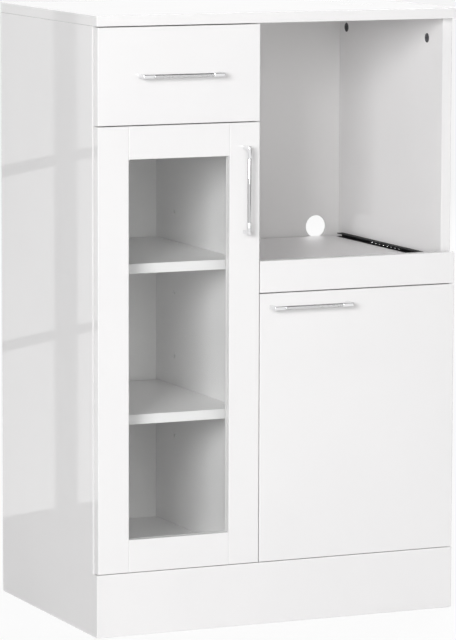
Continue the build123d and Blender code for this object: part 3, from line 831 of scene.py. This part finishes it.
class Workpiece:
    """A mesh under the modelling tools. Sizes come in as millimetres; the mesh is in metres."""

    def __init__(self, name: str) -> None:
        """Take up the piece that has just been made."""
        self.piece = bpy.context.object
        self.piece.name = name
        self.settle()

    @classmethod
    def block(cls, name: str, low: Point, high: Point) -> "Workpiece":
        """A block between its lowest and highest corners."""
        bpy.ops.object.select_all(action="DESELECT")
        middle = (Vector(low) + Vector(high)) / 2.0 * MM
        bpy.ops.mesh.primitive_cube_add(size=1.0, location=middle, scale=(Vector(high) - Vector(low)) * MM)
        return cls(name)

    @classmethod
    def rod(
        cls, name: str, middle: Point, run: Run, radius: float, length: float, sides: int = 48
    ) -> "Workpiece":
        """Add a round rod.

        Args:
            name: its name.
            middle: the point in its middle.
            run: the way that it lies.
            radius: its radius.
            length: its length.
            sides: how many flat sides stand for its round.

        Returns:
            The rod.
        """
        bpy.ops.object.select_all(action="DESELECT")
        bpy.ops.mesh.primitive_cylinder_add(
            vertices=sides,
            radius=radius * MM,
            depth=length * MM,
            location=Vector(middle) * MM,
            rotation=run.tilt(),
        )
        return cls(name)

    def choose(self) -> None:
        """Make this the only piece that the tools work on."""
        bpy.ops.object.select_all(action="DESELECT")
        self.piece.select_set(True)
        bpy.context.view_layer.objects.active = self.piece

    def settle(self) -> None:
        """Put the piece's place and turn into its mesh."""
        self.choose()
        bpy.ops.object.transform_apply(location=True, rotation=True, scale=True)

    def open(self, kind: Pick) -> bmesh.types.BMesh:
        """Open the mesh for editing with nothing selected.

        Args:
            kind: what is selected next.

        Returns:
            The open mesh.
        """
        if self.piece.mode == "OBJECT":
            self.choose()
            bpy.ops.object.mode_set(mode="EDIT")
        bpy.ops.mesh.select_mode(type=kind.value)
        bpy.ops.mesh.select_all(action="DESELECT")
        mesh = bmesh.from_edit_mesh(self.piece.data)
        mesh.normal_update()
        return mesh

    def close(self) -> None:
        """Leave the mesh, so that it is an object again."""
        if self.piece.mode == "EDIT":
            bpy.ops.object.mode_set(mode="OBJECT")

    def pick_faces(self, test: FaceTest) -> None:
        """Select the faces whose middle, in millimetres, and normal pass a test."""
        for face in self.open(Pick.FACES).faces:
            if test(face.calc_center_median() / MM, face.normal):
                face.select_set(True)
        bmesh.update_edit_mesh(self.piece.data)

    def pick_edges(self, test: PointTest) -> None:
        """Select the edges whose two ends, in millimetres, both pass a test."""
        for edge in self.open(Pick.EDGES).edges:
            if all(test(vertex.co / MM) for vertex in edge.verts):
                edge.select_set(True)
        bmesh.update_edit_mesh(self.piece.data)

    @staticmethod
    def extrude(move: Point) -> None:
        """Draw the selected faces out."""
        bpy.ops.mesh.extrude_region_move(TRANSFORM_OT_translate={"value": Vector(move) * MM})

    @staticmethod
    def inset(width: float) -> None:
        """Draw a smaller face inside each selected one."""
        bpy.ops.mesh.inset(thickness=width * MM, use_individual=True)

    @staticmethod
    def squeeze(share: Point, centre: Point) -> None:
        """Scale what is selected about a point."""
        bpy.ops.transform.resize(value=share, center_override=Vector(centre) * MM)

    @staticmethod
    def bevel(width: float, segments: int) -> None:
        """Round the selected edges."""
        bpy.ops.mesh.bevel(offset=width * MM, segments=segments, affect="EDGES", profile=0.5)

    def split(self, place: Point, way: Point) -> None:
        """Cut new edges through the whole mesh on a plane."""
        self.open(Pick.FACES)
        bpy.ops.mesh.select_all(action="SELECT")
        bpy.ops.mesh.bisect(plane_co=Vector(place) * MM, plane_no=way)

    def soften(self, width: float, segments: int, sharp: float = 40.0) -> None:
        """Ease every edge that turns by more than a sharp angle, in degrees."""
        self.close()
        self.choose()
        ease = self.piece.modifiers.new("ease", "BEVEL")
        ease.width = width * MM
        ease.segments = segments
        ease.limit_method = "ANGLE"
        ease.angle_limit = math.radians(sharp)
        bpy.ops.object.modifier_apply(modifier=ease.name)

    def cut(self, tool: "Workpiece") -> None:
        """Take another piece's shape out of this one and throw that piece away."""
        self.close()
        self.choose()
        cutter = self.piece.modifiers.new("cut", "BOOLEAN")
        cutter.operation = "DIFFERENCE"
        cutter.solver = "EXACT"
        cutter.object = tool.piece
        bpy.ops.object.modifier_apply(modifier=cutter.name)
        tool.discard()

    def copy(self, name: str, place: Matrix) -> "Workpiece":
        """A copy with its own mesh in another place, given in metres."""
        self.close()
        self.choose()
        bpy.ops.object.duplicate(linked=False)
        bpy.context.object.matrix_world = place
        return Workpiece(name)

    def join(self, *others: "Workpiece") -> "Workpiece":
        """Take other pieces into this one as further solids."""
        self.choose()
        for other in others:
            other.piece.select_set(True)
        bpy.ops.object.join()
        return self

    def discard(self) -> None:
        """Throw the piece away."""
        bpy.data.objects.remove(self.piece, do_unlink=True)

    def finish(self, body: Body, slot: Slot, material: bpy.types.Material, *stands_for: str) -> None:
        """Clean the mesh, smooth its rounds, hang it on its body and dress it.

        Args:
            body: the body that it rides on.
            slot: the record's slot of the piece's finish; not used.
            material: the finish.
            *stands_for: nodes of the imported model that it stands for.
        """
        self.open(Pick.POINTS)
        bpy.ops.mesh.select_all(action="SELECT")
        bpy.ops.mesh.remove_doubles(threshold=WELD)
        bpy.ops.mesh.normals_make_consistent(inside=False)
        self.close()
        self.choose()
        bpy.ops.object.shade_smooth_by_angle(angle=ROUND_ANGLE)
        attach(self.piece, body.value)
        if stands_for:
            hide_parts(*stands_for)
        PaintRoom.lay(self.piece, material)
        LOG.info("modelled %s", self.piece.name)


@dataclass(frozen=True)
class CrossScrew:
    """A pan screw with a cross recess, its head above Z 0 and its shank below. Sizes are in millimetres.

    Attributes:
        head_radius: the head's radius.
        head: the head's height.
        shank_radius: the shank's radius.
        shank: the shank's length.
        sides: how many flat sides stand for a round.
        rim_share: the rounding of the head's rim, as a share of its height.
        rim_steps: the facets of that rounding.
        tip_share: the tapered tip, as a share of the shank, where that is under the shank's radius.
        point_share: the tip's end, as a share of the shank's radius.
        recess_reach_share: half the recess's length, as a share of the head's radius.
        recess_width_share: half its slots' width, as a share of the head's radius.
        recess_floor_share: the height of its floor, as a share of the head's.
    """

    head_radius: float
    head: float
    shank_radius: float
    shank: float
    sides: int = 40
    rim_share: float = 0.45
    rim_steps: int = 4
    tip_share: float = 0.2
    point_share: float = 0.55
    recess_reach_share: float = 0.55
    recess_width_share: float = 0.12
    recess_floor_share: float = 0.45

    def model(self, name: str) -> Workpiece:
        """A head with a rounded rim and a cross recess, on a shank with a tapered tip."""
        head_middle = (0.0, 0.0, self.head / 2.0)
        screw = Workpiece.rod(name, head_middle, Run.ALONG_Z, self.head_radius, self.head, self.sides)
        screw.pick_edges(lambda end: end.z > self.head - NEAR)
        screw.bevel(self.rim_share * self.head, self.rim_steps)
        screw.pick_faces(lambda middle, normal: normal.z < -FACING)
        screw.inset(self.head_radius - self.shank_radius)
        tip = min(self.tip_share * self.shank, self.shank_radius)
        screw.extrude((0.0, 0.0, tip - self.shank))
        screw.extrude((0.0, 0.0, -tip))
        screw.squeeze((self.point_share, self.point_share, 1.0), (0.0, 0.0, -self.shank))
        screw.close()
        reach = self.recess_reach_share * self.head_radius
        slit = self.recess_width_share * self.head_radius
        for across in ((reach, slit), (slit, reach)):
            low = (-across[0], -across[1], self.recess_floor_share * self.head)
            screw.cut(Workpiece.block("recess_tool", low, (*across, self.head + self.head)))
        return screw


@dataclass
class BarHandle:
    """A slim handle: a brushed bar between two polished caps on posts, and its two screws.

    It is modelled along X with the front's face at Y 0, in millimetres, and copied to each front.

    Attributes:
        half_length: half the handle's length.
        bar_half: half the bar's length between the caps.
        bar_radius: the bar's radius.
        cap: the caps' width and depth.
        stand: how far the caps' outer faces stand off the front.
        post: the posts' length along the handle.
        spigot_radius: the radius of the bar's ends inside the caps.
        spigot: the length of those ends.
        cap_round: the rounding all round the caps' outer faces.
        cap_round_steps: the facets of that rounding.
        easing: how much the other edges are eased.
        easing_steps: the facets of an eased edge.
        bore_overrun: how far the tool of a cap's bore stands out of the cap.
        screw: the screw that comes through the front.
        screw_bite: how far it reaches into the handle.
    """

    half_length: float = 67.0
    bar_half: float = 48.0
    bar_radius: float = 2.9
    cap: float = 6.0
    stand: float = 20.0
    post: float = 6.0
    spigot_radius: float = 1.8
    spigot: float = 9.8
    cap_round: float = 2.2
    cap_round_steps: int = 6
    easing: float = 0.25
    easing_steps: int = 2
    bore_overrun: float = 1.0
    screw: CrossScrew = CrossScrew(head_radius=4.0, head=2.5, shank_radius=2.0, shank=26.0)
    screw_bite: float = 10.0

    def axis_y(self) -> float:
        """The depth of the bar's axis."""
        return self.cap / 2.0 - self.stand

    def model_bar(self) -> Workpiece:
        """The bar with eased rims and a spigot at each end."""
        axis = self.axis_y()
        length = self.bar_half + self.bar_half
        bar = Workpiece.rod("handle_bar", (0.0, axis, 0.0), Run.ALONG_X, self.bar_radius, length)
        bar.pick_faces(lambda middle, normal: abs(normal.x) > FACING)
        bar.inset(self.bar_radius - self.spigot_radius)
        for side in SIDES:
            bar.pick_faces(
                lambda middle, normal: normal.x * side > FACING
                and math.hypot(middle.y - axis, middle.z) < NEAR
            )
            bar.extrude((side * self.spigot, 0.0, 0.0))
        bar.pick_edges(
            lambda end: abs(abs(end.x) - self.bar_half) < NEAR
            and math.hypot(end.y - axis, end.z) > self.bar_radius - NEAR
        )
        bar.bevel(self.easing, self.easing_steps)
        bar.close()
        return bar

    def model_feet(self) -> Workpiece:
        """The two caps, each with a post to the front and a bore for the bar's end."""
        half = self.cap / 2.0
        low = (self.bar_half, -self.stand, -half)
        high = (self.half_length, self.cap - self.stand, half)
        foot = Workpiece.block("handle_foot", low, high)
        post_start = self.half_length - self.post
        foot.split((post_start, 0.0, 0.0), (1.0, 0.0, 0.0))
        foot.pick_faces(lambda middle, normal: normal.y > FACING and middle.x > post_start)
        foot.extrude((0.0, self.stand - self.cap, 0.0))
        foot.pick_edges(lambda end: end.y < NEAR - self.stand and abs(abs(end.z) - half) < NEAR)
        foot.bevel(self.cap_round, self.cap_round_steps)
        foot.soften(self.easing, self.easing_steps)
        bore_length = self.spigot + self.bore_overrun
        bore_middle = (self.bar_half + self.spigot - bore_length / 2.0, self.axis_y(), 0.0)
        foot.cut(Workpiece.rod("bore_tool", bore_middle, Run.ALONG_X, self.spigot_radius, bore_length))
        return foot.join(foot.copy("handle_far_foot", Matrix.Rotation(math.pi, 4, "Y")))

    def model_screws(self) -> Workpiece:
        """The two screws, each with its head behind the front."""
        screw = self.screw.model("handle_screw")
        back = self.screw.shank - self.screw_bite
        reach = self.half_length - self.post / 2.0
        turn = Matrix.Rotation(-QUARTER, 4, "X")
        seats = [Matrix.Translation(Vector((side * reach, back, 0.0)) * MM) @ turn for side in SIDES]
        first, second = (screw.copy("handle_screws", seat) for seat in seats)
        screw.discard()
        return first.join(second)

    def fit(self, room: PaintRoom) -> None:
        """Copy the handle to the drawer and to both doors."""
        bar, feet, screws = self.model_bar(), self.model_feet(), self.model_screws()
        for stem, board, body, run in (
            ("drawer", "drawer_front", Body.DRAWER, Run.ALONG_X),
            ("glass_door", "glass_door_handle_stile", Body.GLASS_DOOR, Run.ALONG_Z),
            ("lower_door", "lower_door_panel", Body.LOWER_DOOR, Run.ALONG_X),
        ):
            low, high = (Vector(corner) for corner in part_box(f"{stem}_handle_bar"))
            middle = (low + high) / 2.0
            middle.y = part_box(board)[0][1]
            place = Matrix.Translation(middle)
            bar_finish = room.materials[Slot.BAR]
            if run is Run.ALONG_Z:
                place = place @ Matrix.Rotation(QUARTER, 4, "Y")
                bar_finish = room.upright_bar
            for part, master, slot, finish in (
                ("bar", bar, Slot.BAR, bar_finish),
                ("feet", feet, Slot.FOOT, room.materials[Slot.FOOT]),
                ("screws", screws, Slot.BRIGHT, room.materials[Slot.BRIGHT]),
            ):
                piece = master.copy(f"{stem}_fine_handle_{part}", place)
                piece.finish(body, slot, finish, f"{stem}_handle_{part}")
                piece.piece.visible_diffuse = False  # its mirror images of the lamps would spot the front
        for master in (bar, feet, screws):
            master.discard()


@dataclass
class HingeFittings:
    """The screws of the hinge plates and arms, and the ears that hold the hinge cups to the doors.

    Sizes are in millimetres.

    Attributes:
        plate_screw: a screw of a hinge plate.
        plate_seat: how far off the side its head is seated.
        plate_middle: how far behind a side's front edge a plate's middle lies.
        plate_screw_offset: how far the plate's screws lie over and under its middle.
        arm_screw: a screw of a hinge arm.
        arm_face: how far the arm's face stands off the side.
        arm_screw_offset: how far the arm's screws lie before and behind the plate's middle.
        ear: an ear's thickness.
        ear_half: half an ear's width.
        ear_start: where an ear starts from the cup's middle.
        ear_end: where it ends.
        ear_round: the rounding of its outer corners.
        ear_round_steps: the facets of that rounding.
        ear_easing: how much its other edges are eased.
        ear_easing_steps: the facets of an eased edge.
        ear_screw: an ear's screw.
        ear_screw_place: how far that screw lies from the cup's middle.
    """

    plate_screw: CrossScrew = CrossScrew(head_radius=3.0, head=2.0, shank_radius=2.0, shank=12.0)
    plate_seat: float = 2.0
    plate_middle: float = 27.0
    plate_screw_offset: float = 7.2
    arm_screw: CrossScrew = CrossScrew(head_radius=2.6, head=1.2, shank_radius=1.6, shank=1.4)
    arm_face: float = 6.0
    arm_screw_offset: float = 8.0
    ear: float = 1.0
    ear_half: float = 7.0
    ear_start: float = 16.5
    ear_end: float = 30.0
    ear_round: float = 5.5
    ear_round_steps: int = 8
    ear_easing: float = 0.2
    ear_easing_steps: int = 2
    ear_screw: CrossScrew = CrossScrew(head_radius=3.0, head=1.2, shank_radius=1.5, shank=1.6)
    ear_screw_place: float = 24.0

    def model_ears(self) -> Workpiece:
        """A cup's two ears with their screws, modelled on the plane Y 0 about the cup's middle."""
        low, high = (-self.ear_half, 0.0, self.ear_start), (self.ear_half, self.ear, self.ear_end)
        ear = Workpiece.block("cup_ear", low, high)
        for side in SIDES:
            ear.pick_edges(lambda end: end.z > self.ear_end - NEAR and end.x * side > self.ear_half - NEAR)
            ear.bevel(self.ear_round, self.ear_round_steps)
        ear.soften(self.ear_easing, self.ear_easing_steps)
        screw = self.ear_screw.model("ear_screw")
        place = Vector((0.0, self.ear, self.ear_screw_place)) * MM
        seat = Matrix.Translation(place) @ Matrix.Rotation(-QUARTER, 4, "X")
        ear.join(screw.copy("ear_screw_in_place", seat))
        screw.discard()
        return ear.join(ear.copy("cup_far_ear", Matrix.Rotation(math.pi, 4, "Y")))

    def fit(self, room: PaintRoom) -> None:
        """Fit the ears to both doors and the screws to both sides."""
        ears = self.model_ears()
        plate_screw = self.plate_screw.model("plate_screw")
        arm_screw = self.arm_screw.model("arm_screw")
        plate_screws: list[Workpiece] = []
        arm_screws: list[Workpiece] = []
        for stem, side, body, inward in (
            ("glass_door", "left_side_panel", Body.GLASS_DOOR, 1.0),
            ("lower_door", "right_side_panel", Body.LOWER_DOOR, -1.0),
        ):
            low, high = (Vector(corner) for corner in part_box(f"{stem}_hinge_cups"))
            radius = (high.x - low.x) / 2.0
            side_low, side_high = (Vector(corner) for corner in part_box(side))
            wall = side_high.x if inward > 0.0 else side_low.x
            depth = side_low.y + self.plate_middle * MM
            turn = Matrix.Rotation(inward * QUARTER, 4, "Y")
            pairs: list[Workpiece] = []
            for height in (low.z + radius, high.z - radius):
                cup = Matrix.Translation(((low.x + high.x) / 2.0, high.y, height))
                pairs.append(ears.copy(f"{stem}_cup_ears", cup))
                seat = Vector((wall + inward * self.plate_seat * MM, depth, height))
                face = Vector((wall + inward * self.arm_face * MM, depth, height))
                for sign in SIDES:
                    over = Vector((0.0, 0.0, sign * self.plate_screw_offset * MM))
                    in_plate = Matrix.Translation(seat + over) @ turn
                    plate_screws.append(plate_screw.copy("fine_plate_screws", in_plate))
                    behind = Vector((0.0, sign * self.arm_screw_offset * MM, 0.0))
                    in_arm = Matrix.Translation(face + behind) @ turn
                    arm_screws.append(arm_screw.copy("hinge_arm_screws", in_arm))
            pairs[0].join(*pairs[1:]).finish(body, Slot.HINGE, room.materials[Slot.HINGE])
        bright = room.materials[Slot.BRIGHT]
        all_plate_screws = plate_screws[0].join(*plate_screws[1:])
        all_plate_screws.finish(Body.CARCASS, Slot.BRIGHT, bright, "hinge_plate_screws")
        all_arm_screws = arm_screws[0].join(*arm_screws[1:])
        all_arm_screws.finish(Body.CARCASS, Slot.BRIGHT, bright)
        for master in (ears, plate_screw, arm_screw):
            master.discard()


# Studio


def rectangle(low: Corner, high: Corner) -> Outline:
    """The outline of a rectangle between its lowest and highest corners."""
    return (low, (high[0], low[1]), high, (low[0], high[1]))


@dataclass(frozen=True)
class GlossCard:
    """A flat card beside the set that only reflections see.

    Attributes:
        name: its name.
        corners: its four corners.
        level: how light it is, where 1 is white.
    """

    name: str
    corners: tuple[Point, Point, Point, Point]
    level: float

    @classmethod
    def standing(cls, name: str, x: float, outline: Outline, level: float) -> "GlossCard":
        """A card square to X, with its outline in depth and height."""
        return cls(name, tuple((x, y, z) for y, z in outline), level)

    @classmethod
    def lying(cls, name: str, z: float, outline: Outline, level: float) -> "GlossCard":
        """A card square to Z, with its outline in width and depth."""
        return cls(name, tuple((x, y, z) for x, y in outline), level)

    def build(self) -> None:
        """Lay the card's one face between its corners and keep it off camera."""
        bpy.ops.object.select_all(action="DESELECT")
        bpy.ops.mesh.primitive_plane_add(size=1.0)
        card = bpy.context.object
        card.name = self.name
        order = sorted(card.data.vertices, key=lambda vertex: math.atan2(vertex.co.y, vertex.co.x))
        for vertex, corner in zip(order, self.corners):
            vertex.co = corner
        material, bench = start_material(f"{self.name}_light")
        glow = bench.place("ShaderNodeEmission")
        glow.inputs["Color"].default_value = rgba((self.level, self.level, self.level))
        output = bench.place("ShaderNodeOutputMaterial")
        bench.feed(glow.outputs[0], output.inputs["Surface"])
        card.data.materials.append(material)
        card.visible_camera = False
        card.visible_diffuse = False
        card.visible_shadow = False
        card.visible_transmission = False
        card.visible_volume_scatter = False


# Bars that the side's gloss shows, and dark flags for the metal to reflect
WINDOW_X = -0.5
WINDOW_LEVEL = 0.35
WINDOW_BARS: dict[str, Outline] = {
    "window_post": ((0.387, 0.08), (0.490, 0.06), (0.490, 0.95), (0.387, 0.95)),
    "window_upper_bar": ((0.28, 0.686), (0.80, 0.597), (0.80, 0.619), (0.28, 0.703)),
    "window_lower_bar": ((0.28, 0.403), (0.80, 0.292), (0.80, 0.311), (0.28, 0.419)),
    "window_sill": ((0.28, 0.0), (0.80, 0.0), (0.80, 0.001), (0.28, 0.123)),
}
WINDOW_BOARD = rectangle((WINDOW_X, -0.2), (-0.3, 0.8))
UPPER_FLAG = rectangle((-3.0, -1.5), (3.0, 0.3))
RIGHT_FLAG = rectangle((-2.6, -0.2), (-0.3, 1.0))
CARDS: tuple[GlossCard, ...] = (
    *(GlossCard.standing(name, WINDOW_X, outline, WINDOW_LEVEL) for name, outline in WINDOW_BARS.items()),
    GlossCard.lying("window_board", z=0.002, outline=WINDOW_BOARD, level=WINDOW_LEVEL),
    GlossCard.lying("upper_flag", z=2.6, outline=UPPER_FLAG, level=0.03),
    GlossCard.standing("right_flag", x=2.4, outline=RIGHT_FLAG, level=0.05),
)


@dataclass(frozen=True)
class Lamp:
    """A large square lamp that the camera doesn't see.

    Attributes:
        name: its name.
        place: where it hangs.
        aim: the point that it faces.
        side: the length of its side.
        power: its power in watts.
    """

    name: str
    place: Point
    aim: Point
    side: float
    power: float

    def hang(self) -> None:
        """Hang the lamp in its place and turn it to its aim."""
        lamp = bpy.data.lights.new(self.name, "AREA")
        lamp.shape = "SQUARE"
        lamp.size = self.side
        lamp.energy = self.power
        holder = bpy.data.objects.new(self.name, lamp)
        holder.location = self.place
        way = Vector(self.aim) - Vector(self.place)
        holder.rotation_euler = way.to_track_quat("-Z", "Y").to_euler()
        holder.visible_camera = False
        bpy.context.scene.collection.objects.link(holder)


# A broad key from the front left, fills from the front and from above, and one for the back
LAMPS: tuple[Lamp, ...] = (
    Lamp("key_lamp", place=(-5.0, -5.6, 2.4), aim=(0.0, 0.0, 0.5), side=2.6, power=372.0),
    Lamp("front_lamp", place=(-0.7, -2.7, 1.2), aim=(-0.1, -0.2, 0.5), side=1.2, power=12.0),
    Lamp("top_lamp", place=(0.0, 0.1, 3.0), aim=(0.0, 0.0, 0.9), side=1.8, power=30.0),
    Lamp("rear_lamp", place=(3.5, 4.0, 2.6), aim=(0.0, 0.2, 0.5), side=2.0, power=120.0),
)


@dataclass
class Studio:
    """A pale floor under a white sky, with the lamps and the cards.

    Attributes:
        floor_half: half the floor's side.
        floor_drop: how far the floor lies under the object's foot.
        floor_paint: the floor's own tint.
        floor_white: the share of the floor that shows as plain white.
        sky: how strongly the world lights the object.
        sky_tint: the tint of that light.
    """

    floor_half: float = 30.0
    floor_drop: float = 0.4 * MM
    floor_paint: Colour = (0.9, 0.9, 0.9)
    floor_white: float = 0.9
    sky: float = 0.14
    sky_tint: Colour = (1.0, 0.995, 0.99)

    @staticmethod
    def seen_by_eye(bench: NodeBench) -> bpy.types.NodeSocket:
        """1 for the rays that show a background, 0 for those that carry light to the object."""
        path = bench.place("ShaderNodeLightPath")
        seen = bench.reckon("MAXIMUM", path.outputs["Is Camera Ray"], path.outputs["Is Glossy Ray"])
        return bench.reckon("MAXIMUM", seen, path.outputs["Is Transmission Ray"])

    def build_world(self) -> None:
        """White to the eye, a soft even light to the object."""
        world = bpy.data.worlds.new("studio_world")
        bpy.context.scene.world = world
        world.use_nodes = True
        bench = NodeBench(world.node_tree)
        bench.tree.nodes.clear()
        light = bench.place("ShaderNodeBackground")
        light.inputs["Color"].default_value = rgba(self.sky_tint)
        light.inputs["Strength"].default_value = self.sky
        white = bench.place("ShaderNodeBackground")
        white.inputs["Color"].default_value = rgba(WHITE)
        mixed = bench.blend(self.seen_by_eye(bench), light.outputs[0], white.outputs[0])
        output = bench.place("ShaderNodeOutputWorld")
        bench.feed(mixed, output.inputs["Surface"])

    def build_floor(self) -> None:
        """A plain pale floor that keeps the object's shadow."""
        bpy.ops.object.select_all(action="DESELECT")
        side = self.floor_half + self.floor_half
        bpy.ops.mesh.primitive_plane_add(size=side, location=(0.0, 0.0, -self.floor_drop))
        floor = bpy.context.object
        floor.name = "studio_floor"
        material, bench = start_material("studio_floor_paint")
        paint = bench.place("ShaderNodeBsdfDiffuse")
        paint.inputs["Color"].default_value = rgba(self.floor_paint)
        white = bench.place("ShaderNodeEmission")
        share = bench.reckon("MULTIPLY", self.seen_by_eye(bench), self.floor_white)
        mixed = bench.blend(share, paint.outputs[0], white.outputs[0])
        output = bench.place("ShaderNodeOutputMaterial")
        bench.feed(mixed, output.inputs["Surface"])
        floor.data.materials.append(material)

    def build(self) -> None:
        """Set up the whole studio."""
        self.build_world()
        self.build_floor()
        for lamp in LAMPS:
            lamp.hang()
        for card in CARDS:
            card.build()
        bpy.context.scene.view_settings.view_transform = "Standard"
        LOG.info("studio set up")


@dataclass
class PhotoCamera:
    """The photograph's viewpoint.

    Attributes:
        place: where the camera stands.
        yaw: its turn to the right of +Y, in degrees.
        pitch: its tilt down, in degrees.
        roll: its turn about its own axis, in degrees.
        lens: its focal length, in millimetres.
        sensor: the long side that the focal length is for, in millimetres.
        far_limit: how far it sees.
    """

    place: Point = (-2.57345, -5.77427, 1.2915)
    yaw: float = 24.011
    pitch: float = 7.608
    roll: float = -0.172
    lens: float = 228.70
    sensor: float = 36.0
    far_limit: float = 100.0

    def build(self) -> None:
        """Stand the camera in its place and make it the scene's own."""
        yaw, pitch, roll = (math.radians(angle) for angle in (self.yaw, self.pitch, self.roll))
        flat = math.cos(pitch)
        ahead = Vector((math.sin(yaw) * flat, math.cos(yaw) * flat, -math.sin(pitch)))
        level = Vector((math.cos(yaw), -math.sin(yaw), 0.0))
        down = ahead.cross(level)
        right = math.cos(roll) * level + math.sin(roll) * down
        up = math.sin(roll) * level - math.cos(roll) * down
        turn = Matrix((right, up, -ahead)).transposed()
        data = bpy.data.cameras.new("photo_camera")
        data.lens = self.lens
        data.sensor_width = self.sensor
        data.clip_end = self.far_limit
        camera = bpy.data.objects.new("photo_camera", data)
        camera.matrix_world = Matrix.Translation(self.place) @ turn.to_4x4()
        bpy.context.scene.collection.objects.link(camera)
        bpy.context.scene.camera = camera
        LOG.info("camera set up")


def main() -> None:
    """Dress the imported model, add its small hardware and set up the studio."""
    logging.basicConfig(level=logging.INFO, format="%(message)s")
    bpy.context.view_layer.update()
    bpy.ops.object.select_all(action="DESELECT")
    PhotoCamera().build()
    room = PaintRoom()
    room.dress_frame()
    BarHandle().fit(room)
    HingeFittings().fit(room)
    Studio().build()


if __name__ == "__main__":
    main()
